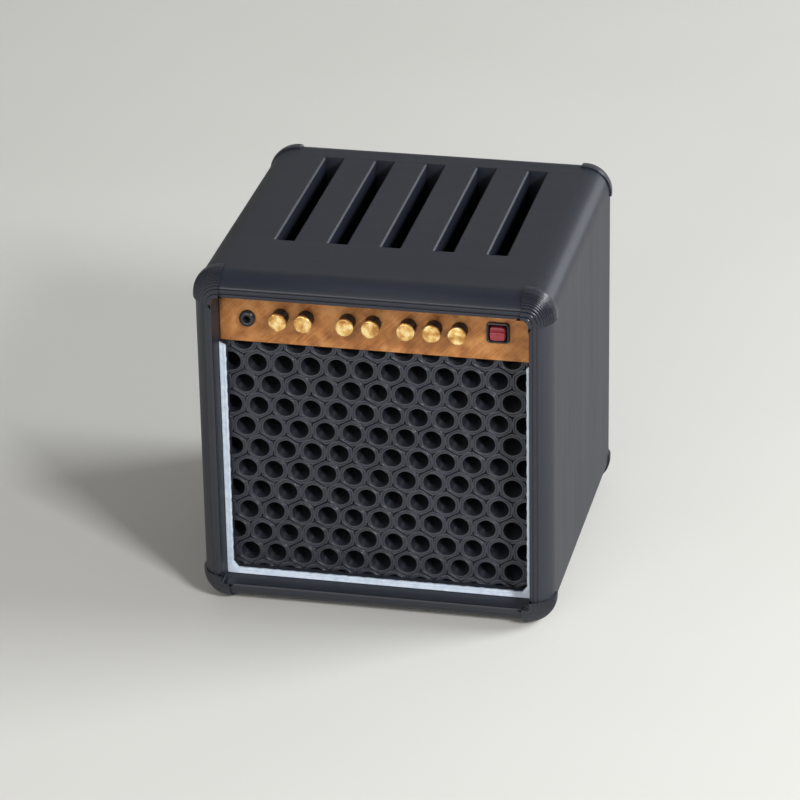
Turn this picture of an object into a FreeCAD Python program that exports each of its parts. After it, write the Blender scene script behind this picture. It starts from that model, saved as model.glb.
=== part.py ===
import FreeCAD, Part
import math
import os

# Pick holder in the shape of a small guitar combo amplifier. All sizes are in millimetres.
# +Z is up, the front faces -Y, and the origin is on the surface that the holder stands on,
# under the middle of the cabinet.

V = FreeCAD.Vector
OVERSHOOT = 2.0         # how far a cutting shape runs past what it cuts
TINY = 1e-6             # places closer than this are the same

# ---- Cabinet -----------------------------------------------------------------------------
WIDTH = 80.0            # left to right
DEPTH = 82.0            # front to back
HEIGHT = 80.0           # underside to top
EDGE_R = 6.0            # rounding of every outer edge
RIM = 4.8               # wall beside the front opening
RECESS = 18.6           # front face to the floor behind the grille
OPENING_R = 1.5         # upper corner radius of the front opening
OPENING_LOW_R = 0.4     # lower corner radius of the front opening

# ---- Corner guards -----------------------------------------------------------------------
GUARD_PROUD = 0.5       # how far a guard's ball stands out of the cabinet's faces
GUARD_INSET = 6.6       # how far a guard reaches along each face from the corner
GUARD_INNER_R = 4.4     # radius of the seat that a guard sits on
FOOT_FLAT = 0.1         # how much of each lower ball is cut off flat

# ---- Pick slots --------------------------------------------------------------------------
SLOT_COUNT = 5
SLOT_PITCH = 12.0
SLOT_WIDTH = 4.2
SLOT_FRONT = 22.9       # cabinet front to the near end of a slot
SLOT_LENGTH = 48.6
SLOT_DEPTH = 22.0
SLOT_CHAMFER = 0.35

# ---- Inserts in the front opening, by their depth behind the front face -------------------
INSERT_GAP = 0.05       # clearance round each insert
PANEL_FACE = 6.7
PANEL_THICK = 2.4
PANEL_LOW = 62.1        # lower edge of the control panel above the cabinet's underside
PIPING_FACE = 5.2
PIPING_WIDTH = 1.45
PIPING_THICK = 0.6
PIPING_CHAMFER = 1.2    # inner lower corners
GRILLE_FACE = 7.4       # the holes' plate; its raised rim reaches the back of the piping

# ---- Grille holes ------------------------------------------------------------------------
HOLE_R = 2.1
HOLE_PITCH = 6.03
HOLE_LOW = 9.78         # lowest row above the cabinet's underside
HOLE_ROWS = 11
HOLES_PER_ROW = 11

# ---- Controls ----------------------------------------------------------------------------
CONTROL_Z = 68.85       # centre line of the controls above the cabinet's underside
KNOB_GROUPS = [(-21.2, 2), (-6.15, 2), (7.45, 3)]   # first knob of each group, and how many
KNOB_PITCH = 5.7
KNOB_R = 1.85
KNOB_REACH = 3.9        # panel face to the front of the cap
KNOB_LIFT = 0.1         # gap between a knob and the panel
CAP_R = 1.98
CAP_THICK = 0.8
CAP_CHAMFER = 0.25
PEG_R = 0.8
PEG_CLEARANCE = 0.05
PEG_LENGTH = 2.2
JACK_X = -28.75
JACK_Z = 67.9
JACK_FLANGE_R = 1.8
JACK_BODY_R = 1.15
JACK_BORE_R = 0.6
JACK_PROUD = 1.2
JACK_FLOOR = 0.4        # closed end behind the bore
SWITCH_X = 27.3
BEZEL_SIZE = (5.1, 4.8)         # width and height of the flange
BEZEL_BODY = (4.5, 4.3)
BEZEL_WINDOW = (3.9, 3.7)
BEZEL_R = 0.8
BEZEL_WINDOW_R = 0.15
BEZEL_PROUD = 0.7
ROCKER_WIDTH = 3.7
ROCKER_R = 1.72                 # rounded top and bottom, about the pivot
ROCKER_FRONT = 1.95             # pivot to the rocker's front ridge
ROCKER_PIVOT = 0.75             # pivot behind the panel face
ROCKER_DISH = 0.25              # how far the crease across the rocker's face is sunk
ROCKER_CREASE = 0.55            # the crease above the rocker's middle
ROCKER_TIP = 1.56               # half height of the rocker's face
ROCKER_HEEL = 1.38              # pivot to the rocker's back edge
ROCKER_TILT = 6.0               # at rest the top is pressed in by this angle

# ---- Derived places ----------------------------------------------------------------------
LIFT = GUARD_PROUD - FOOT_FLAT              # cabinet's underside above the surface
FRONT = -DEPTH / 2
BACK = DEPTH / 2
TOP = LIFT + HEIGHT
HALF_OPENING = WIDTH / 2 - RIM
OPENING_LOW = LIFT + RIM
OPENING_HIGH = TOP - RIM
GUARD_R = EDGE_R + GUARD_PROUD
PANEL_BOTTOM = LIFT + PANEL_LOW
ROW_PITCH = HOLE_PITCH * math.sqrt(3) / 2


def block(x0, x1, y0, y1, z0, z1):
    return Part.makeBox(x1 - x0, y1 - y0, z1 - z0, V(x0, y0, z0))


def centred_block(width, y0, y1, height, x, z):
    return block(x - width / 2, x + width / 2, y0, y1, z - height / 2, z + height / 2)


def round_along_y(shape, radius, corner_test=None):
    """Fillet the edges that run front to back, or only those that corner_test accepts."""
    edges = []
    for edge in shape.Edges:
        a = edge.Vertexes[0].Point
        b = edge.Vertexes[-1].Point
        runs_back = abs(a.x - b.x) < TINY and abs(a.z - b.z) < TINY and abs(a.y - b.y) > TINY
        if runs_back and (corner_test is None or corner_test(a)):
            edges.append(edge)
    return shape.makeFillet(radius, edges)


def rod(radius, y0, y1, x, z):
    """A cylinder along Y between two depths."""
    return Part.makeCylinder(radius, y1 - y0, V(x, y0, z), V(0, 1, 0))


def opening_prism(depth_to, high=OPENING_HIGH):
    """The space of the front opening, from in front of the cabinet to a depth behind it."""
    front = FRONT - OVERSHOOT
    prism = block(-HALF_OPENING, HALF_OPENING, front, FRONT + depth_to, OPENING_LOW, high)
    prism = round_along_y(prism, OPENING_LOW_R, lambda p: abs(p.z - OPENING_LOW) < TINY)
    if high < OPENING_HIGH:
        return prism
    return round_along_y(prism, OPENING_R, lambda p: abs(p.z - OPENING_HIGH) < TINY)


def corner_guards():
    """Eight corner caps, each little more than an eighth of a ball, in a small step."""
    guards = {}
    mouth = opening_prism(RECESS)
    for side, sx in (("left", -1), ("right", 1)):
        for face, sy in (("front", -1), ("back", 1)):
            for level, sz in (("bottom", 0), ("top", 1)):
                cx = sx * (WIDTH / 2 - EDGE_R)
                cy = sy * (DEPTH / 2 - EDGE_R)
                cz = TOP - EDGE_R if sz else LIFT + EDGE_R
                ball = Part.makeSphere(GUARD_R, V(cx, cy, cz))
                seat = Part.makeSphere(GUARD_INNER_R, V(cx, cy, cz))
                x_cut = sx * (WIDTH / 2 - GUARD_INSET)
                y_cut = sy * (DEPTH / 2 - GUARD_INSET)
                z_cut = TOP - GUARD_INSET if sz else LIFT + GUARD_INSET
                y_end = sy * (DEPTH / 2 + OVERSHOOT)
                z_end = TOP + OVERSHOOT if sz else 0.0
                x_end = sx * (WIDTH / 2 + OVERSHOOT)
                corner = block(
                    min(x_cut, x_end), max(x_cut, x_end),
                    min(y_cut, y_end), max(y_cut, y_end),
                    min(z_cut, z_end), max(z_cut, z_end),
                )
                guard = ball.common(corner).cut(seat)
                if sy < 0:
                    guard = guard.cut(mouth)
                guards["corner_guard_%s_%s_%s" % (face, level, side)] = guard.Solids[0]
    return guards


def slot_boxes():
    """One box per pick slot, open at the cabinet's top."""
    boxes = []
    y0 = FRONT + SLOT_FRONT
    half = SLOT_WIDTH / 2
    for i in range(SLOT_COUNT):
        x = (i - (SLOT_COUNT - 1) / 2) * SLOT_PITCH
        boxes.append(block(x - half, x + half, y0, y0 + SLOT_LENGTH,
                           TOP - SLOT_DEPTH, TOP + OVERSHOOT))
    return boxes


def cabinet(guards):
    """The body: rounded on every edge, with the front recess and the five pick slots."""
    body = block(-WIDTH / 2, WIDTH / 2, FRONT, BACK, LIFT, TOP)
    body = body.makeFillet(EDGE_R, body.Edges)
    body = body.cut(opening_prism(PANEL_FACE + PANEL_THICK + INSERT_GAP))
    body = body.cut(opening_prism(RECESS, high=PANEL_BOTTOM))
    body = body.cut(Part.makeCompound(slot_boxes()))
    mouth_edges = []
    for edge in body.Edges:
        points = [v.Point for v in edge.Vertexes]
        on_top = all(abs(p.z - TOP) < TINY for p in points)
        inside = all(abs(p.x) < SLOT_COUNT * SLOT_PITCH / 2 for p in points)
        if on_top and inside:
            mouth_edges.append(edge)
    body = body.makeChamfer(SLOT_CHAMFER, mouth_edges)
    for guard in guards.values():
        body = body.cut(guard)
    return body


def strip_frame(y0, y1):
    """A U of flat strip: up the left side of the opening, along the bottom and up the right."""
    outer_half = HALF_OPENING - INSERT_GAP
    inner_half = outer_half - PIPING_WIDTH
    low = OPENING_LOW + INSERT_GAP
    high = PANEL_BOTTOM - 2 * INSERT_GAP
    outer = block(-outer_half, outer_half, y0, y1, low, high)
    outer = round_along_y(outer, OPENING_LOW_R, lambda p: abs(p.z - low) < TINY)
    inner = block(-inner_half, inner_half, y0 - OVERSHOOT, y1 + OVERSHOOT,
                  low + PIPING_WIDTH, high + OVERSHOOT)
    bevels = []
    for edge in inner.Edges:
        a = edge.Vertexes[0].Point
        b = edge.Vertexes[1].Point
        runs_back = abs(a.y - b.y) > TINY
        if runs_back and abs(a.z - low - PIPING_WIDTH) < TINY:
            bevels.append(edge)
    inner = inner.makeChamfer(PIPING_CHAMFER, bevels)
    return outer.cut(inner)


def hole_centres():
    """Staggered rows of grille holes; every second row is half a pitch wider at each side."""
    centres = []
    for row in range(HOLE_ROWS):
        extra = row % 2
        count = HOLES_PER_ROW + extra
        z = LIFT + HOLE_LOW + row * ROW_PITCH
        for i in range(count):
            centres.append(((i - (count - 1) / 2) * HOLE_PITCH, z))
    return centres


def grille():
    """A thick plate with round holes below the control panel, and a rim under the piping."""
    y0 = FRONT + GRILLE_FACE
    y1 = FRONT + RECESS - INSERT_GAP
    half = HALF_OPENING - INSERT_GAP
    low = OPENING_LOW + INSERT_GAP
    high = PANEL_BOTTOM - 2 * INSERT_GAP
    plate = block(-half, half, y0, y1, low, high)
    plate = round_along_y(plate, OPENING_LOW_R, lambda p: abs(p.z - low) < TINY)
    holes = [rod(HOLE_R, y0 - OVERSHOOT, y1 + OVERSHOOT, x, z) for x, z in hole_centres()]
    plate = plate.cut(Part.makeCompound(holes))
    rim = strip_frame(FRONT + PIPING_FACE + PIPING_THICK, y0)
    return plate.fuse(rim).removeSplitter()


def knob_places():
    """X of each knob, left to right."""
    places = []
    for first, count in KNOB_GROUPS:
        places += [first + i * KNOB_PITCH for i in range(count)]
    return places


def control_panel():
    """The panel plate, with bores for the knob pegs, the jack and the switch."""
    y0 = FRONT + PANEL_FACE
    y1 = y0 + PANEL_THICK
    half = HALF_OPENING - INSERT_GAP
    high = OPENING_HIGH - INSERT_GAP
    z = LIFT + CONTROL_Z
    plate = block(-half, half, y0, y1, PANEL_BOTTOM, high)
    plate = round_along_y(plate, OPENING_R, lambda p: abs(p.z - high) < TINY)
    start = y0 - OVERSHOOT
    end = y1 + OVERSHOOT
    cuts = [rod(PEG_R + PEG_CLEARANCE, start, end, x, z) for x in knob_places()]
    cuts.append(rod(JACK_BODY_R + INSERT_GAP, start, end, JACK_X, LIFT + JACK_Z))
    window_w = BEZEL_BODY[0] + 2 * INSERT_GAP
    window_h = BEZEL_BODY[1] + 2 * INSERT_GAP
    cuts.append(centred_block(window_w, start, end, window_h, SWITCH_X, z))
    return plate.cut(Part.makeCompound(cuts))


def knob(x):
    """One knob: a barrel with the peg that turns in the panel, and the cap on its front."""
    z = LIFT + CONTROL_Z
    face = FRONT + PANEL_FACE
    cap_front = face - KNOB_REACH
    cap_back = cap_front + CAP_THICK
    barrel = rod(KNOB_R, cap_back, face - KNOB_LIFT, x, z)
    barrel = barrel.fuse(rod(PEG_R, cap_back, face + PEG_LENGTH, x, z))
    barrel = barrel.removeSplitter()
    cap = rod(CAP_R, cap_front, cap_back, x, z)
    rim = [e for e in cap.Edges if e.Closed and abs(e.BoundBox.YMin - cap_front) < TINY
           and e.BoundBox.YLength < TINY]
    cap = cap.makeChamfer(CAP_CHAMFER, rim)
    return barrel, cap


def input_jack():
    """A jack bush: flange on the panel's face, body through the panel, and a bore."""
    face = FRONT + PANEL_FACE
    z = LIFT + JACK_Z
    flange = rod(JACK_FLANGE_R, face - JACK_PROUD, face, JACK_X, z)
    body = rod(JACK_BODY_R, face - JACK_PROUD / 2, face + PANEL_THICK, JACK_X, z)
    bore_end = face + PANEL_THICK - JACK_FLOOR
    bore = rod(JACK_BORE_R, face - JACK_PROUD - OVERSHOOT, bore_end, JACK_X, z)
    return flange.fuse(body).cut(bore).removeSplitter()


def switch_bezel():
    """The switch's frame: a rounded flange on the panel, and a sleeve through it."""
    face = FRONT + PANEL_FACE
    z = LIFT + CONTROL_Z
    flange = centred_block(BEZEL_SIZE[0], face - BEZEL_PROUD, face, BEZEL_SIZE[1], SWITCH_X, z)
    flange = round_along_y(flange, BEZEL_R)
    sleeve = centred_block(BEZEL_BODY[0], face - BEZEL_PROUD / 2, face + PANEL_THICK, BEZEL_BODY[1],
                           SWITCH_X, z)
    window = centred_block(BEZEL_WINDOW[0], face - OVERSHOOT, face + PANEL_THICK + OVERSHOOT,
                           BEZEL_WINDOW[1], SWITCH_X, z)
    window = round_along_y(window, BEZEL_WINDOW_R)
    return flange.fuse(sleeve).cut(window).removeSplitter()


def switch_rocker():
    """The rocker: a side profile about its pivot, with a dished face, tilted to rest."""
    x0 = SWITCH_X - ROCKER_WIDTH / 2
    y = FRONT + PANEL_FACE + ROCKER_PIVOT
    z = LIFT + CONTROL_Z
    tip_low = V(x0, y - ROCKER_FRONT, z - ROCKER_TIP)
    tip_high = V(x0, y - ROCKER_FRONT, z + ROCKER_TIP)
    dish = V(x0, y - ROCKER_FRONT + ROCKER_DISH, z + ROCKER_CREASE)
    side_low = V(x0, y, z - ROCKER_R)
    side_high = V(x0, y, z + ROCKER_R)
    heel = V(x0, y + ROCKER_HEEL, z)
    edges = [
        Part.makeLine(side_low, tip_low),
        Part.makeLine(tip_low, dish),
        Part.makeLine(dish, tip_high),
        Part.makeLine(tip_high, side_high),
        Part.makeLine(side_high, heel),
        Part.makeLine(heel, side_low),
    ]
    rocker = Part.Face(Part.Wire(edges)).extrude(V(ROCKER_WIDTH, 0, 0))
    rocker.rotate(V(x0, y, z), V(1, 0, 0), -ROCKER_TILT)
    return rocker


def main():
    os.makedirs("parts", exist_ok=True)
    guards = corner_guards()
    nodes = dict(guards)
    nodes["cabinet"] = cabinet(guards)
    piping_y = FRONT + PIPING_FACE
    nodes["piping_frame"] = strip_frame(piping_y, piping_y + PIPING_THICK)
    nodes["grille"] = grille()
    nodes["control_panel"] = control_panel()
    nodes["input_jack"] = input_jack()
    nodes["switch_bezel"] = switch_bezel()
    nodes["switch_rocker"] = switch_rocker()
    for number, x in enumerate(knob_places(), start=1):
        barrel, cap = knob(x)
        nodes["knob_barrel_%d" % number] = barrel
        nodes["knob_cap_%d" % number] = cap
    for name, shape in nodes.items():
        solid = shape.Solids[0]
        print("%-34s solids %d valid %s volume %.2f" % (
            name, len(shape.Solids), shape.isValid(), shape.Volume))
        solid.exportStep("parts/%s.step" % name)


main()
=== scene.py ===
import math

import bmesh
import bpy
import numpy as np
from mathutils import Matrix, Vector


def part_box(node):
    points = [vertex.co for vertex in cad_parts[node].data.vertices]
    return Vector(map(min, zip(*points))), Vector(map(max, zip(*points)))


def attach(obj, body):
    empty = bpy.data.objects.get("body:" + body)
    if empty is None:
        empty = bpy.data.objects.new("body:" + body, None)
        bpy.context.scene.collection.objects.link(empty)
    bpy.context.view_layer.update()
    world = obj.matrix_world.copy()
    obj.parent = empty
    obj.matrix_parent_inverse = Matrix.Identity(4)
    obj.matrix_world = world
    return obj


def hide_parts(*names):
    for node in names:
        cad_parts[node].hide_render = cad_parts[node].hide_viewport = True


# Looks for the pick holder: a small printed combo amplifier. The pieces are built here in
# millimetres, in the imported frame, and turned into metres as each mesh is made. Depths are
# measured from the cabinet's front face towards the back, and heights from the floor.

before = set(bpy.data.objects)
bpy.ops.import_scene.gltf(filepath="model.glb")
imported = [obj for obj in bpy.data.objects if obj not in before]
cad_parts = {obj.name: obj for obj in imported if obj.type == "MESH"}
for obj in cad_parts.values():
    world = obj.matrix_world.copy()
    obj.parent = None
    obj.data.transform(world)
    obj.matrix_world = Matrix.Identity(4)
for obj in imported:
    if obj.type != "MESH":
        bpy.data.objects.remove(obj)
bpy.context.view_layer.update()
MM = 0.001
BODY = "amp_body"


def node_box(name):
    """A CAD node's lowest and highest corner in millimetres."""
    low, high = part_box(name)
    return np.array(low) / MM, np.array(high) / MM


# ---- Sizes read from the frame ------------------------------------------------------------
cab_low, cab_high = node_box("cabinet")
panel_low, panel_high = node_box("control_panel")
piping_low, piping_high = node_box("piping_frame")
grille_low, grille_high = node_box("grille")
jack_low, jack_high = node_box("input_jack")
bezel_low, bezel_high = node_box("switch_bezel")
LIFT = cab_low[2]
TOP = cab_high[2]
HALF_WIDTH = cab_high[0]
BACK = cab_high[1]
DEPTH = 2 * BACK
FRONT = -BACK
MID_Z = (LIFT + TOP) / 2

# ---- Sizes of the cabinet and its printed layers -------------------------------------------
EDGE_R = 6.0
RIM = 4.8
RECESS = 18.6
OPENING_R = 1.5         # upper corners of the opening
OPENING_LOW_R = 0.4     # its lower corners
LAYER = 0.4             # printed layer height, along the depth
LAYER_ROUND = 0.09      # how far each layer's edge is rounded off on the corner guards
LAYER_LINE = 0.005      # depth of the fine lines between the cabinet's layers
SHARP_ANGLE = 0.6       # edges that turn more than this, in radians, stay crisp
STEPPED_DEPTH = 0.6     # the cabinet's first layers are steps; the rest follow the rounding
HALF_CORE = HALF_WIDTH - EDGE_R          # the corner centres stand this far from the middle
HALF_OPENING = HALF_WIDTH - RIM
WALL = HALF_OPENING - HALF_CORE          # the opening's wall, past a corner's centre
RIM_FRONT = EDGE_R - math.sqrt(EDGE_R ** 2 - WALL ** 2)
SLOT_COUNT = 5
SLOT_PITCH = 12.0
SLOT_WIDTH = 4.2
SLOT_FRONT = 22.9
SLOT_LENGTH = 48.6
SLOT_DEPTH = 22.0
SLOT_CHAMFER = 0.35
GUARD_R = EDGE_R + 0.5
GUARD_INSET = 6.6       # how far a guard reaches along each face from the corner
GUARD_PAST = GUARD_INSET - EDGE_R        # and so past the ball's centre
GUARD_SEAT = 0.3        # how far a guard's ends go into the cabinet
GUARD_STEPS = 44
MOUTH_SKIN = 0.03       # a guard's front starts this far outside the opening's outline
STRIP_PROUD = 0.02      # how far its strip stands into the opening
STRIP_LIP = 0.06        # depth of the strip's slanted front edge
STRIP_DEPTH = 2.0       # and where the strip ends
FIRST_RING = 0.05       # the front ring is this much wider than the opening's wall
CORNER_STEPS = 8


def mesh_object(name, verts, faces, material, body=BODY, nodes=()):
    """A mesh from millimetre points, riding on a body and standing for CAD nodes."""
    mesh = bpy.data.meshes.new(name)
    mesh.from_pydata([tuple(v) for v in np.asarray(verts, float) * MM], [], faces)
    bm = bmesh.new()
    bm.from_mesh(mesh)
    bmesh.ops.remove_doubles(bm, verts=bm.verts, dist=1e-7)
    bmesh.ops.dissolve_degenerate(bm, edges=bm.edges, dist=1e-7)
    bmesh.ops.recalc_face_normals(bm, faces=bm.faces)
    for face in bm.faces:
        face.smooth = True
    for edge in bm.edges:
        edge.smooth = edge.calc_face_angle(0.0) < SHARP_ANGLE
    bm.to_mesh(mesh)
    bm.free()
    piece = bpy.data.objects.new(name, mesh)
    bpy.context.scene.collection.objects.link(piece)
    mesh.materials.append(material)
    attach(piece, body)
    if nodes:
        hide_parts(*nodes)
    return piece


def loft(rows, closed=True, cap_start=False, cap_end=False):
    """Quads between rows of points with equal counts. Each row is an (n, 3) array."""
    n = len(rows[0])
    verts = np.concatenate(rows)
    faces = []
    last = n if closed else n - 1
    for r in range(len(rows) - 1):
        a = r * n
        b = a + n
        for i in range(last):
            j = (i + 1) % n
            faces.append((a + i, a + j, b + j, b + i))
    if cap_start:
        faces.append(tuple(range(n)))
    if cap_end:
        faces.append(tuple(range((len(rows) - 1) * n, len(rows) * n)))
    return verts, faces


def merge(parts):
    """Several (verts, faces) pairs as one."""
    verts, faces, start = [], [], 0
    for v, f in parts:
        verts.append(np.asarray(v, float))
        faces += [tuple(i + start for i in face) for face in f]
        start += len(v)
    return np.concatenate(verts), faces


def layer_table(first, last, radius_at, wobble, seed):
    """(front depth, back depth, radius) of each printed layer, with its own small error."""
    local = np.random.default_rng(seed)
    count = int(round((last - first) / LAYER))
    height = (last - first) / count
    table = []
    for k in range(count):
        start = first + k * height
        radius = radius_at(start + height / 2) + local.normal(0, wobble)
        table.append((start, start + height, radius))
    return table


def beads(table, rounding):
    """(depth, radius) points down a printed side: one rounded bead per layer."""
    points = []
    for start, end, radius in table:
        bite = 0.2 * (end - start)
        points += [(start, radius - rounding), (start + bite, radius),
                   (end - bite, radius), (end, radius - rounding)]
    return points


def hash_of(text):
    """A small fixed number from a name, to seed its randomness."""
    return sum((i + 1) * ord(c) for i, c in enumerate(text)) % 9973


# ---- Cabinet -------------------------------------------------------------------------------
def cabinet_radius(depth):
    """Radius of the cross-section's corners at a depth: the rounding, seen along the depth."""
    inset = EDGE_R - min(depth, DEPTH - depth)
    if inset <= 0:
        return EDGE_R
    return math.sqrt(max(EDGE_R ** 2 - inset ** 2, 0.0))


def cabinet_profile():
    """(depth, corner radius) down the cabinet: steps at the front, then fine layer lines."""
    points = []
    for start, end, radius in layer_table(RIM_FRONT, DEPTH, cabinet_radius, 0.002, 3):
        error = radius - cabinet_radius((start + end) / 2)
        for share, line in ((0.0, LAYER_LINE), (0.25, 0.0), (0.75, 0.0), (1.0, LAYER_LINE)):
            depth = start + share * (end - start)
            smooth = radius if start < STEPPED_DEPTH else cabinet_radius(depth) + error
            points.append((depth, max(smooth - line, 0.0)))
    return points


def cabinet_outline(half, top_r, low_r, depth, notched=False):
    """A cross-section's outline at one depth, anticlockwise seen from the front."""
    points = []
    corners = [(1, -1, -90, low_r), (1, 1, 0, top_r), (-1, 1, 90, top_r), (-1, -1, 180, low_r)]
    for sx, sz, start, radius in corners:
        core = half - radius
        for step in range(CORNER_STEPS + 1):
            a = math.radians(start + 90 * step / CORNER_STEPS)
            points.append((sx * core + radius * math.cos(a), sz * core + radius * math.sin(a)))
        if (sx, sz) == (1, 1):
            for i in reversed(range(SLOT_COUNT)):
                x = (i - (SLOT_COUNT - 1) / 2) * SLOT_PITCH
                side = SLOT_WIDTH / 2
                chamfer = SLOT_CHAMFER if notched else 0.0
                deep = SLOT_DEPTH if notched else 0.0
                points += [(x + side + SLOT_CHAMFER, half), (x + side, half - chamfer),
                           (x + side, half - deep), (x - side, half - deep),
                           (x - side, half - chamfer), (x - side - SLOT_CHAMFER, half)]
    return np.array([(x, FRONT + depth, MID_Z + z) for x, z in points])


def build_cabinet(material):
    """The shell, from the recess floor out to the front rim and over the outside to the back."""
    rows = []
    wall = [(RECESS, 0.0), (12.0, 0.0), (7.0, 0.0), (4.0, 0.0), (2.0, 0.0), (1.0, 0.0),
            (RIM_FRONT + 0.22, 0.0), (RIM_FRONT + 0.05, 0.05), (RIM_FRONT, 0.18)]
    for depth, grow in wall:
        rows.append(cabinet_outline(HALF_OPENING + grow, OPENING_R + grow,
                                    OPENING_LOW_R + grow, depth))
    slot_end = SLOT_FRONT + SLOT_LENGTH
    was_notched = False
    for depth, radius in cabinet_profile():
        half = HALF_CORE + radius
        notched = SLOT_FRONT <= depth <= slot_end
        if notched and not was_notched:
            rows.append(cabinet_outline(half, radius, radius, SLOT_FRONT - SLOT_CHAMFER))
            rows.append(cabinet_outline(half, radius, radius, SLOT_FRONT, True))
        if was_notched and not notched:
            rows.append(cabinet_outline(half, radius, radius, slot_end, True))
            rows.append(cabinet_outline(half, radius, radius, slot_end + SLOT_CHAMFER))
        was_notched = notched
        before_slot = 0 < SLOT_FRONT - depth <= SLOT_CHAMFER
        after_slot = 0 < depth - slot_end <= SLOT_CHAMFER
        if before_slot or after_slot:
            continue
        rows.append(cabinet_outline(half, radius, radius, depth, notched))
    verts, faces = loft(rows, cap_start=True, cap_end=True)
    mesh_object("cabinet_shell", verts, faces, material, nodes=["cabinet"])


# ---- Corner guards -------------------------------------------------------------------------
def guard_radius(depth):
    return math.sqrt(max(GUARD_R ** 2 - (EDGE_R - depth) ** 2, 0.0))


def mouth_reach(angle, corner_r):
    """From a ball's centre to the opening's outline, in one direction outwards."""
    centre = WALL - corner_r
    c = math.cos(angle)
    s = math.sin(angle)
    if math.atan2(centre, WALL) <= angle <= math.atan2(WALL, centre):
        b = centre * (c + s)
        return b + math.sqrt(b * b - 2 * centre ** 2 + corner_r ** 2)
    return WALL / max(c, s)


def corner_point(corner, u, w, depth):
    """A point by its offsets outwards from a ball's centre, and its depth from the face."""
    sx, sy, sz = corner
    y = FRONT + depth if sy < 0 else BACK - depth
    return sx * (HALF_CORE + u), y, max(MID_Z + sz * (HALF_CORE + w), 0.0)


def guard_point(corner, radius, angle, depth):
    """A point of a guard, by its direction from the ball's centre and its depth."""
    return corner_point(corner, radius * math.cos(angle), radius * math.sin(angle), depth)


def guard_row(corner, radius, depth, least):
    """One arc of a guard between its two flat ends, with a point inside at each end."""
    inner = max(cabinet_radius(max(depth, 0.0)) - GUARD_SEAT, least)
    past = math.asin(min(GUARD_PAST / radius, 1.0))
    past = min(past, math.acos(min(max(inner, 0.0) / radius, 1.0)))
    arc = [guard_point(corner, radius, a, depth)
           for a in np.linspace(-past, math.pi / 2 + past, GUARD_STEPS + 1)]
    offset = -radius * math.sin(past)
    return np.array([corner_point(corner, inner, offset, depth)] + arc
                    + [corner_point(corner, offset, inner, depth)])


def front_guard(corner, seed):
    """A layered corner, cut by the front opening: its layers, and its strip of the wall."""
    corner_r = OPENING_R if corner[2] > 0 else OPENING_LOW_R
    first = EDGE_R - math.sqrt(GUARD_R ** 2 - (WALL + FIRST_RING) ** 2)
    table = layer_table(first, GUARD_INSET, guard_radius, 0.01, seed)
    rows = [guard_row(corner, radius, depth, WALL) for depth, radius in beads(table, LAYER_ROUND)]
    past = math.acos(WALL / table[0][2])
    mouth = [guard_point(corner, mouth_reach(a, corner_r) + MOUTH_SKIN, a, first)
             for a in np.linspace(-past, math.pi / 2 + past, GUARD_STEPS + 1)]
    rows.insert(0, np.array([mouth[0]] + mouth + [mouth[-1]]))
    rows.append(guard_row(corner, EDGE_R - GUARD_SEAT, GUARD_INSET, WALL))
    layers = loft(rows, closed=False)

    past = math.atan2(GUARD_PAST, WALL)
    near, lip, far = [], [], []
    for a in np.linspace(-past, math.pi / 2 + past, GUARD_STEPS + 1):
        reach = mouth_reach(a, corner_r)
        depth = next(start for start, _, radius in table if radius >= reach)
        near.append(guard_point(corner, reach + MOUTH_SKIN, a, depth))
        lip.append(guard_point(corner, reach - STRIP_PROUD, a, depth + STRIP_LIP))
        far.append(guard_point(corner, reach - STRIP_PROUD, a, STRIP_DEPTH))
    strip = loft([np.array(near), np.array(lip), np.array(far)], closed=False)
    return merge([layers, strip])


def back_guard(corner, seed):
    """A whole layered corner, little more than an eighth of a ball."""
    table = layer_table(EDGE_R - GUARD_R, GUARD_INSET, guard_radius, 0.01, seed)
    rows = [guard_row(corner, radius, depth, 0.0) for depth, radius in beads(table, LAYER_ROUND)]
    rows.append(guard_row(corner, EDGE_R - GUARD_SEAT, GUARD_INSET, 0.0))
    return loft(rows, closed=False, cap_start=True)


def build_guards(material):
    for side, sx in (("left", -1), ("right", 1)):
        for face, sy in (("front", -1), ("back", 1)):
            for level, sz in (("bottom", -1), ("top", 1)):
                node = "corner_guard_%s_%s_%s" % (face, level, side)
                build = front_guard if sy < 0 else back_guard
                verts, faces = build((sx, sy, sz), hash_of(node))
                mesh_object(node + "_shell", verts, faces, material, nodes=[node])


# ---- The U-shaped strip ----------------------------------------------------------------------
PIPING_WIDTH = 1.45
STRIP_STEP = 0.4        # stations along the strip are this far apart
STRIP_BEVEL = (1.1, 1.4)        # inner lower corners, across and up
STRIP_END_SLANT = 0.6   # how much lower the inner edge is at the strip's top ends


def strip_path(wave):
    """(outer, inner) edge points along the U, from its top left end to its top right end.

    wave(place) pushes the inner edge in and out by a little.
    """
    half = piping_high[0]
    low = piping_low[2]
    high = piping_high[2]
    inner_x = half - PIPING_WIDTH
    inner_z = low + PIPING_WIDTH
    across, up = STRIP_BEVEL
    left = []
    side_stations = int((high - inner_z - up) / STRIP_STEP)
    for z in np.linspace(high, inner_z + up, side_stations):
        slant = STRIP_END_SLANT * max(0.0, 1 - (high - z) / 1.5)
        left.append(((-half, z), (-inner_x + wave(z), z - slant)))
    for t in np.linspace(0, 1, 7):
        a = math.radians(180 + 90 * t)
        outer = (-half + OPENING_LOW_R * (1 + math.cos(a)), low + OPENING_LOW_R * (1 + math.sin(a)))
        left.append((outer, (-inner_x + across * t, inner_z + up * (1 - t))))
    for x in np.linspace(-inner_x + across, 0, int(inner_x / STRIP_STEP)):
        left.append(((x, low), (x, inner_z + wave(x))))
    right = [((-outer[0], outer[1]), (-inner[0], inner[1])) for outer, inner in left[-2::-1]]
    return left + right


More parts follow.
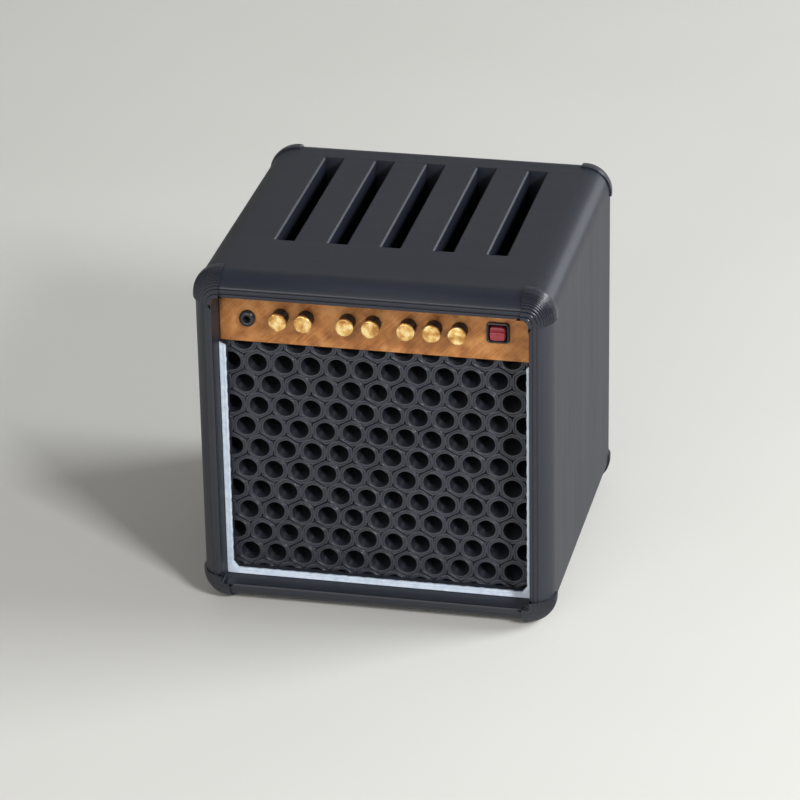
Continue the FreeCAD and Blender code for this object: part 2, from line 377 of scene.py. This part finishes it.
def strip_mesh(path, section, lump_size, seed):
    """Sweep a section of (share across, depth) points along the U."""
    local = np.random.default_rng(seed)
    rows = []
    for outer, inner in path:
        lump = local.normal(0, lump_size)
        rows.append(np.array([
            (outer[0] + (inner[0] - outer[0]) * share, FRONT + depth + lump * (0.05 < share < 1),
             outer[1] + (inner[1] - outer[1]) * share) for share, depth in section]))
    return loft(rows, cap_start=True, cap_end=True)


def build_piping(material):
    """The white strip: two printed tracks side by side, with a faint groove between them."""
    face = piping_low[1] - FRONT
    back = piping_high[1] - FRONT

    def wave(place):
        return 0.04 * math.sin(2 * math.pi * place / 3.02) + 0.025 * math.sin(3.7 * place)

    section = [(0.0, back), (0.0, face + 0.12), (0.06, face), (0.44, face), (0.5, face + 0.035),
               (0.56, face), (0.9, face), (0.98, face + 0.1), (1.0, face + 0.22), (1.0, back)]
    verts, faces = strip_mesh(strip_path(wave), section, 0.006, 5)
    mesh_object("piping_strip", verts, faces, material, nodes=["piping_frame"])


# ---- Grille --------------------------------------------------------------------------------
HOLE_R = 2.1
HOLE_PITCH = 6.03
HOLE_LOW = LIFT + 9.78
CELL_STEPS = 6          # points along each of a cell's six sides
GRILLE_DEPTH = 7.4      # the holes' plate; the rim in front of it carries the piping
HOLE_TUNNEL = 10.8      # how far the holes' walls run back
FLAT_JOIN = 0.02        # how far the plate sinks between neighbours in one row,
FAINT_JOIN = 0.05       # between diagonal neighbours whose tracks touch,
OPEN_JOIN = 0.55        # between diagonal neighbours with a gap,
CORNER_PIT = 0.95       # and where three cells meet


def cell_edge(angle):
    """Distance from a hole's centre to its six-sided cell's edge, in one direction."""
    sector = math.radians(60)
    turned = (angle + sector / 2) % sector - sector / 2
    return HOLE_PITCH / 2 / math.cos(turned)


def join_sink(angle, row):
    """How deep the plate lies at a cell's edge: rows open in turn to the left and right."""
    side = round(math.degrees(angle) / 60) % 6
    open_sides = (1, 5) if row % 2 else (2, 4)
    if side in (0, 3):
        sink = FLAT_JOIN
    else:
        sink = OPEN_JOIN if side in open_sides else FAINT_JOIN
    cornered = (cell_edge(angle) / (HOLE_PITCH / 2) - 1) / (2 / math.sqrt(3) - 1)
    return sink + CORNER_PIT * cornered ** 2


def grille_cell(x0, z0, row, local):
    """One hole: its wall, two printed tracks round it, and the joins with its neighbours."""
    steps = 6 * CELL_STEPS
    r_hole = HOLE_R + local.normal(0, 0.035)
    dx, dz = local.normal(0, 0.035, 2)
    wobble = local.normal(0, 0.012, steps)
    angles = [2 * math.pi * s / steps for s in range(steps)]
    wall = [(0.0, HOLE_TUNNEL), (0.0, 4.0), (0.0, 1.5), (0.0, 0.4), (0.01, 0.14)]
    tracks = [(0.06, 0.04), (0.16, 0.0), (0.38, 0.0), (0.48, 0.09), (0.58, 0.0), (0.80, 0.0)]
    rings = []
    for share, sink in wall + tracks:
        ring = []
        for s, a in enumerate(angles):
            land = cell_edge(a) - r_hole
            r = r_hole + wobble[s] + share * land
            ring.append((x0 + dx * (1 - share) + r * math.cos(a), FRONT + GRILLE_DEPTH + sink,
                         z0 + dz * (1 - share) + r * math.sin(a)))
        rings.append(np.array(ring))
    for share, part in ((0.92, 0.25), (1.0, 1.0)):
        ring = []
        for a in angles:
            r = r_hole + share * (cell_edge(a) - r_hole)
            x = x0 + r * math.cos(a)
            z = z0 + r * math.sin(a)
            uneven = 0.85 + 0.3 * math.sin(1.3 * x + 2.1 * z) * math.sin(0.7 * x - 1.7 * z)
            sink = part * uneven * join_sink(a, row)
            ring.append((x, FRONT + GRILLE_DEPTH + sink, z))
        rings.append(np.array(ring))
    return loft(rings)


def clip_to_box(verts, faces):
    """Cut the cells off at the grille's left, right, lower and upper edges."""
    mesh = bpy.data.meshes.new("uncut")
    mesh.from_pydata([tuple(v) for v in verts], [], faces)
    bm = bmesh.new()
    bm.from_mesh(mesh)
    bpy.data.meshes.remove(mesh)
    bmesh.ops.remove_doubles(bm, verts=bm.verts, dist=1e-4)
    cuts = [((grille_low[0], 0, 0), (-1, 0, 0)), ((grille_high[0], 0, 0), (1, 0, 0)),
            ((0, 0, grille_low[2]), (0, 0, -1)), ((0, 0, grille_high[2]), (0, 0, 1))]
    for point, normal in cuts:
        geom = bm.verts[:] + bm.edges[:] + bm.faces[:]
        bmesh.ops.bisect_plane(bm, geom=geom, plane_co=point, plane_no=normal,
                               clear_outer=True, dist=1e-5)
    bm.verts.ensure_lookup_table()
    verts = np.array([v.co for v in bm.verts])
    faces = [tuple(v.index for v in f.verts) for f in bm.faces]
    bm.free()
    return verts, faces


def build_grille(material):
    local = np.random.default_rng(11)
    row_pitch = HOLE_PITCH * math.sqrt(3) / 2
    cells = []
    for row in range(-1, 12):
        odd = row % 2
        for i in range(-1, 12 + odd):
            x0 = (i - (10 + odd) / 2) * HOLE_PITCH
            if abs(x0) < HALF_OPENING + HOLE_PITCH / 2:
                cells.append(grille_cell(x0, HOLE_LOW + row * row_pitch, row, local))
    plate = clip_to_box(*merge(cells))
    rim_front = piping_high[1] - FRONT
    rim = strip_mesh(strip_path(lambda place: 0.0),
                     [(0.0, GRILLE_DEPTH + 0.3), (0.0, rim_front), (0.97, rim_front),
                      (0.97, GRILLE_DEPTH + 0.3)], 0.0, 6)
    verts, faces = merge([plate, rim])
    mesh_object("grille_rings", verts, faces, material, nodes=["grille"])


# ---- Control panel -------------------------------------------------------------------------
TRACK = 0.45            # width of one printed line


def rounded_box_distance(x, z, half_x, half_z, radius):
    """Distance inside the edge of a rounded rectangle centred on the origin."""
    qx = np.abs(x) - (half_x - radius)
    qz = np.abs(z) - (half_z - radius)
    outside = np.hypot(np.maximum(qx, 0), np.maximum(qz, 0))
    inside = np.minimum(np.maximum(qx, qz), 0)
    return radius - outside - inside


def over_bore(point):
    """Whether a point of the panel's face lies over the jack's bore or the switch's window."""
    x, z = point[0], point[2]
    jack = (jack_low + jack_high) / 2
    switch = (bezel_low + bezel_high) / 2
    in_jack = math.hypot(x - jack[0], z - jack[2]) < 1.0
    in_switch = abs(x - switch[0]) < 2.1 and abs(z - switch[2]) < 2.0
    return in_jack or in_switch


def build_panel(material):
    cx = (panel_low[0] + panel_high[0]) / 2
    cz = (panel_low[2] + panel_high[2]) / 2
    hx = (panel_high[0] - panel_low[0]) / 2
    hz = (panel_high[2] - panel_low[2]) / 2
    nx, nz = 440, 84
    xs = np.linspace(-hx, hx, nx)
    zs = np.linspace(-hz, hz, nz)
    gx, gz = np.meshgrid(xs, zs)
    edge = rounded_box_distance(gx, gz, hx, hz, 0.3)
    infill = 0.018 * np.abs(np.sin(math.pi * (gx + gz) / (TRACK * math.sqrt(2))))
    loops = 0.035 * np.abs(np.sin(math.pi * np.clip(edge, 0, 3 * TRACK) / TRACK))
    height = np.where(edge < 2 * TRACK, loops + 0.01, infill)
    height -= np.clip(0.12 - edge, 0, 0.12) * 0.9
    y = panel_low[1] - height
    front = np.stack([gx + cx, y, gz + cz], axis=-1)
    verts = front.reshape(-1, 3)
    faces = []
    for r in range(nz - 1):
        for c in range(nx - 1):
            a = r * nx + c
            if not over_bore(verts[a]):
                faces.append((a, a + 1, a + nx + 1, a + nx))
    border = list(range(nx))
    border += [r * nx + nx - 1 for r in range(1, nz)]
    border += [(nz - 1) * nx + c for c in range(nx - 2, -1, -1)]
    border += [r * nx for r in range(nz - 2, 0, -1)]
    back = verts[border].copy()
    back[:, 1] = panel_high[1]
    start = len(verts)
    verts = np.concatenate([verts, back])
    n = len(border)
    for i in range(n):
        j = (i + 1) % n
        faces.append((border[i], border[j], start + j, start + i))
    faces.append(tuple(range(start, start + n)))
    mesh_object("panel_plate", verts, faces, material, nodes=["control_panel"])


# ---- Knobs ---------------------------------------------------------------------------------
def lathe(profile, x, z, steps=40):
    """Rings about an axis along the depth, from (y, radius) points, closed at both ends."""
    rows = []
    for y, radius in profile:
        ring = []
        for s in range(steps):
            a = 2 * math.pi * s / steps
            ring.append((x + radius * math.cos(a), y, z + radius * math.sin(a)))
        rows.append(np.array(ring))
    return loft(rows, cap_start=True, cap_end=True)


def smooth_noise(count, scale, seed):
    """Periodic noise round a circle, made of a few sine waves."""
    local = np.random.default_rng(seed)
    a = np.linspace(0, 2 * math.pi, count, endpoint=False)
    out = np.zeros(count)
    for k in (2, 3, 5, 7):
        out += local.normal(0, 1) / math.sqrt(k) * np.sin(k * a + local.uniform(0, 6.3))
    return out * scale


def build_knob(number, black, gold):
    body = "knob_%d" % number
    low, high = node_box("knob_barrel_%d" % number)
    cap_low, cap_high = node_box("knob_cap_%d" % number)
    x = (low[0] + high[0]) / 2
    z = (low[2] + high[2]) / 2
    radius = (high[0] - low[0]) / 2
    face = panel_low[1]
    profile = [(high[1], 0.8), (face - 0.1, 0.8), (face - 0.1, radius - 0.05)]
    y = face - 0.1
    front = cap_high[1]
    count = int(round((y - front) / LAYER))
    step = (y - front) / count
    for k in range(count):
        profile += [(y, radius - 0.05), (y - 0.25 * step, radius), (y - 0.75 * step, radius),
                    (y - step, radius - 0.05)]
        y -= step
    verts, faces = lathe(profile, x, z)
    mesh_object("barrel_%d" % number, verts, faces, black, body=body,
                nodes=["knob_barrel_%d" % number])

    steps, rings = 56, 14
    local = np.random.default_rng(100 + number)
    outline = smooth_noise(steps, 0.045, 200 + number)
    cap_r = (cap_high[0] - cap_low[0]) / 2
    rows = []
    rows.append([(cap_high[1], cap_r - 0.08)] * steps)
    rows.append([(cap_high[1] - 0.12, cap_r + 0.02)] * steps)
    rows.append([(cap_high[1] - 0.34, cap_r)] * steps)
    rows.append([(cap_high[1] - 0.46, cap_r + 0.03)] * steps)
    rows.append([(cap_low[1] + 0.14, cap_r)] * steps)
    lumps = [(local.uniform(0, 1.5), local.uniform(0, 6.28), local.uniform(0.5, 0.9),
              local.uniform(-0.12, 0.14)) for _ in range(5)]
    for k in range(rings):
        r = (cap_r - 0.12) * (1 - k / rings)
        row = []
        for s in range(steps):
            a = 2 * math.pi * s / steps
            bead = 0.03 * abs(math.sin(math.pi * r / TRACK))
            rise = sum(h * math.exp(-((r * math.cos(a) - lr * math.cos(la)) ** 2
                                      + (r * math.sin(a) - lr * math.sin(la)) ** 2) / w ** 2)
                       for lr, la, w, h in lumps)
            row.append((cap_low[1] + 0.08 - bead - 0.55 * rise, r))
        rows.append(row)
    grid = []
    for row in rows:
        pts = []
        for s, (y, r) in enumerate(row):
            a = 2 * math.pi * s / steps
            rr = r * (1 + outline[s] / cap_r)
            pts.append((x + rr * math.cos(a), y, z + rr * math.sin(a)))
        grid.append(np.array(pts))
    verts, faces = loft(grid, cap_start=True, cap_end=True)
    mesh_object("cap_%d" % number, verts, faces, gold, body=body,
                nodes=["knob_cap_%d" % number])


# ---- Jack ----------------------------------------------------------------------------------
def build_jack(material):
    """A bevelled disc, a little taller than wide, round a dark bore."""
    x = (jack_low[0] + jack_high[0]) / 2
    z = (jack_low[2] + jack_high[2]) / 2
    r = (jack_high[0] - jack_low[0]) / 2
    y = jack_low[1]
    profile = [(jack_high[1], 1.1), (panel_low[1], 1.1), (panel_low[1], r), (y + 0.5, r),
               (y + 0.34, r - 0.04), (y + 0.1, r - 0.3), (y, r - 0.5), (y, 1.05),
               (y + 0.06, 0.86), (y + 0.3, 0.74), (y + 2.4, 0.7)]
    verts, faces = lathe(profile, x, z, steps=48)
    verts[:, 2] = z + (verts[:, 2] - z) * 1.04
    mesh_object("jack_bush", verts, faces, material, nodes=["input_jack"])


# ---- Switch --------------------------------------------------------------------------------
def rounded_rectangle(half_x, half_z, radius):
    """Points round a rectangle whose corners are arcs of six steps."""
    steps = 6
    points = []
    for sx, sz, start in ((1, -1, -90), (1, 1, 0), (-1, 1, 90), (-1, -1, 180)):
        for step in range(steps + 1):
            a = math.radians(start + 90 * step / steps)
            points.append((sx * (half_x - radius) + radius * math.cos(a),
                           sz * (half_z - radius) + radius * math.sin(a)))
    return points


def build_bezel(material):
    cx = (bezel_low[0] + bezel_high[0]) / 2
    cz = (bezel_low[2] + bezel_high[2]) / 2
    hx = (bezel_high[0] - bezel_low[0]) / 2
    hz = (bezel_high[2] - bezel_low[2]) / 2
    y = bezel_low[1]
    spec = [(panel_low[1], 0.0, 0.8), (y + 0.3, 0.0, 0.8), (y + 0.1, -0.06, 0.8),
            (y, -0.2, 0.75), (y - 0.01, -0.36, 0.6), (y + 0.08, -0.5, 0.4),
            (y + 0.35, -0.57, 0.3), (y + 2.6, -0.6, 0.25)]
    rows = []
    for depth, grow, radius in spec:
        outline = rounded_rectangle(hx + grow, hz + grow * 0.92, radius)
        rows.append(np.array([(cx + px, depth, cz + pz) for px, pz in outline]))
    verts, faces = loft(rows, cap_end=True)
    mesh_object("bezel_ring", verts, faces, material, nodes=["switch_bezel"])


def build_rocker(material):
    low, high = node_box("switch_rocker")
    cx = (low[0] + high[0]) / 2
    cz = (low[2] + high[2]) / 2
    hx = (high[0] - low[0]) / 2 - 0.05
    hz = (high[2] - low[2]) / 2 - 0.06
    crease = 0.62
    nx, nz = 34, 34
    rows = []
    for r in range(nz + 1):
        v = -1 + 2 * r / nz
        row = []
        for c in range(nx + 1):
            u = -1 + 2 * c / nx
            edge = 1 - max(abs(u), abs(v))
            corner = (max(abs(u) - 0.8, 0) ** 2 + max(abs(v) - 0.8, 0) ** 2) ** 0.5
            z = v * hz
            dish = 0.28 * math.exp(-((z - crease) / 0.22) ** 2)
            rise = 0.10 * math.cos(u * 1.2) + 0.12 * (1 - ((z + 0.7) / 1.6) ** 2)
            pit = 0.22 * math.exp(-((u * hx + 0.05) ** 2 + (z + 0.35) ** 2) / 0.03)
            drop = 0.5 * max(0, corner - 0.1) / 0.1 * 0.5
            rim = 0.25 * max(0, 0.10 - edge) / 0.10
            y = low[1] + 0.3 + dish - rise + pit + min(drop, 0.5) + rim
            across = u * math.sqrt(1 - 0.24 * v ** 4)
            along = v * math.sqrt(1 - 0.24 * u ** 4)
            row.append((cx + across * hx, y, cz + along * hz))
        rows.append(np.array(row))
    verts, faces = loft(rows, closed=False)
    n = nx + 1
    border = list(range(n)) + [r * n + nx for r in range(1, nz + 1)]
    border += [nz * n + c for c in range(nx - 1, -1, -1)] + [r * n for r in range(nz - 1, 0, -1)]
    start = len(verts)
    back = verts[border].copy()
    back[:, 1] = high[1] - 0.6
    back[:, 0] = cx + (back[:, 0] - cx) * 0.96
    back[:, 2] = cz + (back[:, 2] - cz) * 0.86
    verts = np.concatenate([verts, back])
    m = len(border)
    for i in range(m):
        j = (i + 1) % m
        faces.append((border[i], border[j], start + j, start + i))
    faces.append(tuple(range(start, start + m)))
    mesh_object("rocker_cap", verts, faces, material, body="rocker",
                nodes=["switch_rocker"])


# ---- Materials -----------------------------------------------------------------------------
class Nodes:
    """A short way to build a material's node tree."""

    def __init__(self, name):
        self.material = bpy.data.materials.new(name)
        self.material.use_nodes = True
        self.tree = self.material.node_tree
        self.shader = self.tree.nodes["Principled BSDF"]

    def add(self, kind, inputs=(), **settings):
        node = self.tree.nodes.new(kind)
        for key, value in settings.items():
            setattr(node, key, value)
        for key, value in dict(inputs).items():
            self.put(node.inputs[key], value)
        return node

    def put(self, socket, value):
        if isinstance(value, bpy.types.NodeSocket):
            self.tree.links.new(value, socket)
        else:
            socket.default_value = value

    def set(self, **inputs):
        for key, value in inputs.items():
            self.put(self.shader.inputs[key.replace("_", " ")], value)

    def position(self, scale=(1, 1, 1)):
        """Object coordinates in millimetres, stretched by scale."""
        coords = self.add("ShaderNodeTexCoord")
        mapping = self.add("ShaderNodeMapping", {"Vector": coords.outputs["Object"],
                                                 "Scale": [s / MM for s in scale]})
        return mapping.outputs["Vector"]

    def noise(self, vector, scale, detail=2.0, roughness=0.5):
        node = self.add("ShaderNodeTexNoise", {"Vector": vector, "Scale": scale,
                                               "Detail": detail, "Roughness": roughness})
        return node.outputs["Fac"]

    def math(self, operation, a, b=0.0):
        node = self.add("ShaderNodeMath", operation=operation)
        self.put(node.inputs[0], a)
        self.put(node.inputs[1], b)
        return node.outputs[0]

    def remap(self, value, low, high, from_low=0.0, from_high=1.0):
        node = self.add("ShaderNodeMapRange", {"Value": value, "From Min": from_low,
                                               "From Max": from_high, "To Min": low,
                                               "To Max": high})
        return node.outputs["Result"]

    def ramp(self, value, stops):
        node = self.add("ShaderNodeValToRGB", {"Fac": value})
        elements = node.color_ramp.elements
        while len(elements) < len(stops):
            elements.new(0.5)
        for element, (place, colour) in zip(elements, stops):
            element.position = place
            element.color = (*colour, 1)
        return node.outputs["Color"]

    def bump(self, height, strength, distance_mm, normal=None):
        node = self.add("ShaderNodeBump", {"Height": height, "Strength": strength,
                                           "Distance": distance_mm * MM})
        if normal is not None:
            self.put(node.inputs["Normal"], normal)
        return node.outputs["Normal"]


def black_plastic(name, base, rough_low, rough_high, bump=0.1, drawn=0.85, ridges=0.0):
    """Printed black plastic: bands from layer to layer, and a sheen drawn out across them."""
    n = Nodes(name)
    bands = n.noise(n.position((0.02, 1.0, 0.02)), 1.6, detail=4.0, roughness=0.7)
    broad = n.noise(n.position((0.02, 0.12, 0.02)), 1.0, detail=2.0)
    grain = n.noise(n.position(), 4.0, detail=3.0)
    mixed = n.math("ADD", n.math("MULTIPLY", bands, 0.6), n.math("MULTIPLY", broad, 0.4))
    tone = n.ramp(mixed, [(0.3, tuple(c * 0.85 for c in base)),
                          (0.7, tuple(c * 1.2 for c in base))])
    n.set(Base_Color=tone, Roughness=n.remap(mixed, rough_low, rough_high, 0.3, 0.7))
    around = n.add("ShaderNodeTangent", direction_type="RADIAL", axis="Y")
    facing = n.add("ShaderNodeTexCoord").outputs["Normal"]
    parts = n.add("ShaderNodeSeparateXYZ", {"Vector": facing})
    sideways = n.math("LESS_THAN", n.math("ABSOLUTE", parts.outputs["Y"]), 0.9)
    n.set(Tangent=around.outputs["Tangent"], Anisotropic_Rotation=0.25,
          Anisotropic=n.math("MULTIPLY", sideways, drawn))
    surface = n.bump(n.math("ADD", n.math("MULTIPLY", bands, 0.6),
                            n.math("MULTIPLY", grain, 0.4)), bump, 0.05)
    if ridges:
        split = n.add("ShaderNodeSeparateXYZ", {"Vector": n.position()})
        phase = n.math("MULTIPLY", split.outputs["Y"], 2 * math.pi / LAYER)
        wave = n.math("SINE", n.math("ADD", phase, n.math("MULTIPLY", grain, 1.5)))
        surface = n.bump(wave, 1.0, ridges, surface)
    n.set(Normal=surface)
    return n.material


def panel_material():
    """Silky copper gold: diagonal infill tracks, and clouds of olive and orange."""
    n = Nodes("panel_gold")
    turned = n.add("ShaderNodeMapping", {"Vector": n.position(),
                                         "Rotation": (0, math.radians(45), 0)})
    stretched = n.add("ShaderNodeMapping", {"Vector": turned.outputs["Vector"],
                                            "Scale": (0.12, 1.0, 1.6)})
    tracks = n.noise(stretched.outputs["Vector"], 1.7, detail=2.0)
    cloud = n.noise(n.position(), 0.3, detail=3.0)
    mixed = n.math("ADD", n.math("MULTIPLY", tracks, 0.3), n.math("MULTIPLY", cloud, 0.7))
    tone = n.ramp(mixed, [(0.36, (0.25, 0.087, 0.021)), (0.5, (0.40, 0.155, 0.038)),
                          (0.64, (0.52, 0.235, 0.074))])
    n.set(Base_Color=tone, Roughness=n.remap(mixed, 0.3, 0.48, 0.3, 0.7), Metallic=0.3)
    n.set(Normal=n.bump(tracks, 0.35, 0.06))
    return n.material


def cap_material():
    """Silky light gold, in a few broad swirls."""
    n = Nodes("cap_gold")
    swirl = n.noise(n.position(), 0.5, detail=1.0)
    fine = n.noise(n.position(), 2.4, detail=2.0)
    tone = n.ramp(swirl, [(0.34, (0.42, 0.20, 0.05)), (0.5, (0.74, 0.43, 0.13)),
                          (0.64, (0.95, 0.74, 0.34))])
    n.set(Base_Color=tone, Roughness=n.remap(fine, 0.18, 0.34, 0.3, 0.7), Metallic=0.6)
    n.set(Normal=n.bump(swirl, 0.3, 0.2))
    return n.material


def rocker_material():
    n = Nodes("rocker_red")
    mottled = n.noise(n.position(), 1.3, detail=3.0)
    tone = n.ramp(mottled, [(0.3, (0.19, 0.012, 0.020)), (0.7, (0.30, 0.026, 0.040))])
    n.set(Base_Color=tone, Roughness=n.remap(mottled, 0.3, 0.46))
    n.set(Normal=n.bump(mottled, 0.25, 0.08))
    return n.material


def piping_material():
    n = Nodes("piping_white")
    cloud = n.noise(n.position(), 0.8, detail=3.0)
    fine = n.noise(n.position(), 3.5, detail=2.0)
    tone = n.ramp(cloud, [(0.3, (0.66, 0.73, 0.84)), (0.7, (0.84, 0.90, 0.98))])
    n.set(Base_Color=tone, Roughness=n.remap(fine, 0.3, 0.46), Subsurface_Weight=0.1)
    n.set(Normal=n.bump(fine, 0.25, 0.06))
    return n.material


def make_materials():
    """Every black part is the same filament, glossier on the small parts; the grille's lighter base
    is painted light.
    """
    return {
        "cabinet": black_plastic("cabinet_black", (0.017, 0.019, 0.028), 0.36, 0.46),
        "guard": black_plastic("guard_black", (0.015, 0.017, 0.025), 0.20, 0.28, drawn=0.3),
        # The grille's base is lighter than the cabinet's: painted light on its recessed face and
        # inside its holes.
        "grille": black_plastic("grille_black", (0.024, 0.027, 0.036), 0.24, 0.34, bump=0.2,
                                ridges=0.04),
        "knob": black_plastic("knob_black", (0.006, 0.006, 0.008), 0.18, 0.3, bump=0.1),
        "jack": black_plastic("jack_black", (0.012, 0.012, 0.015), 0.26, 0.4, bump=0.2),
        "bezel": black_plastic("bezel_black", (0.012, 0.012, 0.015), 0.26, 0.4, bump=0.2),
        "panel": panel_material(),
        "cap": cap_material(),
        "rocker": rocker_material(),
        "piping": piping_material(),
    }


# ---- Studio --------------------------------------------------------------------------------
def floor_material():
    n = Nodes("floor_pale")
    cloud = n.noise(n.position((0.02, 0.02, 0.02)), 0.35, detail=2.0)
    tone = n.ramp(cloud, [(0.3, (0.72, 0.69, 0.63)), (0.7, (0.75, 0.72, 0.66))])
    n.set(Base_Color=tone, Roughness=0.7)
    return n.material


def build_studio():
    size = 2.4
    bend = 0.5
    wall_y = 1.1
    profile = [(-size, 0.0), (wall_y - bend, 0.0)]
    for k in range(1, 13):
        a = math.radians(90 * k / 12)
        profile.append((wall_y - bend + bend * math.sin(a), bend - bend * math.cos(a)))
    profile.append((wall_y, 2.2))
    rows = [np.array([(x, y, z) for x in (-size, size)]) for y, z in profile]
    verts, faces = loft(rows, closed=False)
    mesh = bpy.data.meshes.new("studio_floor")
    mesh.from_pydata([tuple(v) for v in verts], [], faces)
    for polygon in mesh.polygons:
        polygon.use_smooth = True
    floor = bpy.data.objects.new("studio_floor", mesh)
    bpy.context.scene.collection.objects.link(floor)
    mesh.materials.append(floor_material())

    world = bpy.data.worlds.new("studio")
    bpy.context.scene.world = world
    world.use_nodes = True
    background = world.node_tree.nodes["Background"]
    background.inputs["Color"].default_value = (0.84, 0.91, 1.0, 1)
    background.inputs["Strength"].default_value = 0.2


def area_light(name, place, target, size, power, colour=(1, 1, 1)):
    data = bpy.data.lights.new(name, "AREA")
    data.shape = "RECTANGLE"
    data.size, data.size_y = size
    data.energy = power
    data.color = colour
    lamp = bpy.data.objects.new(name, data)
    bpy.context.scene.collection.objects.link(lamp)
    lamp.location = place
    direction = Vector(target) - Vector(place)
    lamp.rotation_mode = "QUATERNION"
    lamp.rotation_quaternion = direction.to_track_quat("-Z", "Y")


CAMERA_AZIMUTH = 12.745
CAMERA_ELEVATION = 25.519
CAMERA_ROLL = -1.049
CAMERA_DISTANCE = 0.9272
CAMERA_LENS = 182.6
TARGET_RIGHT = -0.0025
TARGET_UP = -0.00523


def build_camera():
    a = math.radians(CAMERA_AZIMUTH)
    e = math.radians(CAMERA_ELEVATION)
    right = Vector((math.cos(a), math.sin(a), 0))
    ahead = Vector((-math.sin(a) * math.cos(e), math.cos(a) * math.cos(e), -math.sin(e)))
    up = right.cross(ahead)
    target = Vector((0, 0, MID_Z * MM)) + right * TARGET_RIGHT + up * TARGET_UP
    roll = math.radians(CAMERA_ROLL)
    rolled_right = right * math.cos(roll) + up * math.sin(roll)
    rolled_up = up * math.cos(roll) - right * math.sin(roll)
    place = target - ahead * CAMERA_DISTANCE
    data = bpy.data.cameras.new("camera")
    data.lens = CAMERA_LENS
    data.sensor_width = 36.0
    data.clip_start, data.clip_end = 0.05, 20
    camera = bpy.data.objects.new("camera", data)
    bpy.context.scene.collection.objects.link(camera)
    matrix = Matrix((rolled_right, rolled_up, -ahead)).transposed().to_4x4()
    matrix.translation = place
    camera.matrix_world = matrix
    bpy.context.scene.camera = camera


def main():
    bpy.context.scene.view_settings.view_transform = "Standard"
    made = make_materials()
    build_cabinet(made["cabinet"])
    build_guards(made["guard"])
    build_grille(made["grille"])
    build_piping(made["piping"])
    build_panel(made["panel"])
    for number in range(1, 8):
        build_knob(number, made["knob"], made["cap"])
    build_jack(made["jack"])
    build_bezel(made["bezel"])
    build_rocker(made["rocker"])
    build_studio()
    middle = (0, 0, 0.04)
    area_light("side", (1.0, 0.3, 0.6), middle, (0.6, 0.6), 14.0, (0.90, 0.95, 1.0))
    area_light("key", (0.66, -0.66, 0.6), middle, (0.2, 0.2), 8.0, (0.93, 0.96, 1.0))
    area_light("fill", (-0.3, -1.15, 0.3), middle, (0.7, 0.5), 5.0, (1.0, 0.98, 0.96))
    build_camera()


main()
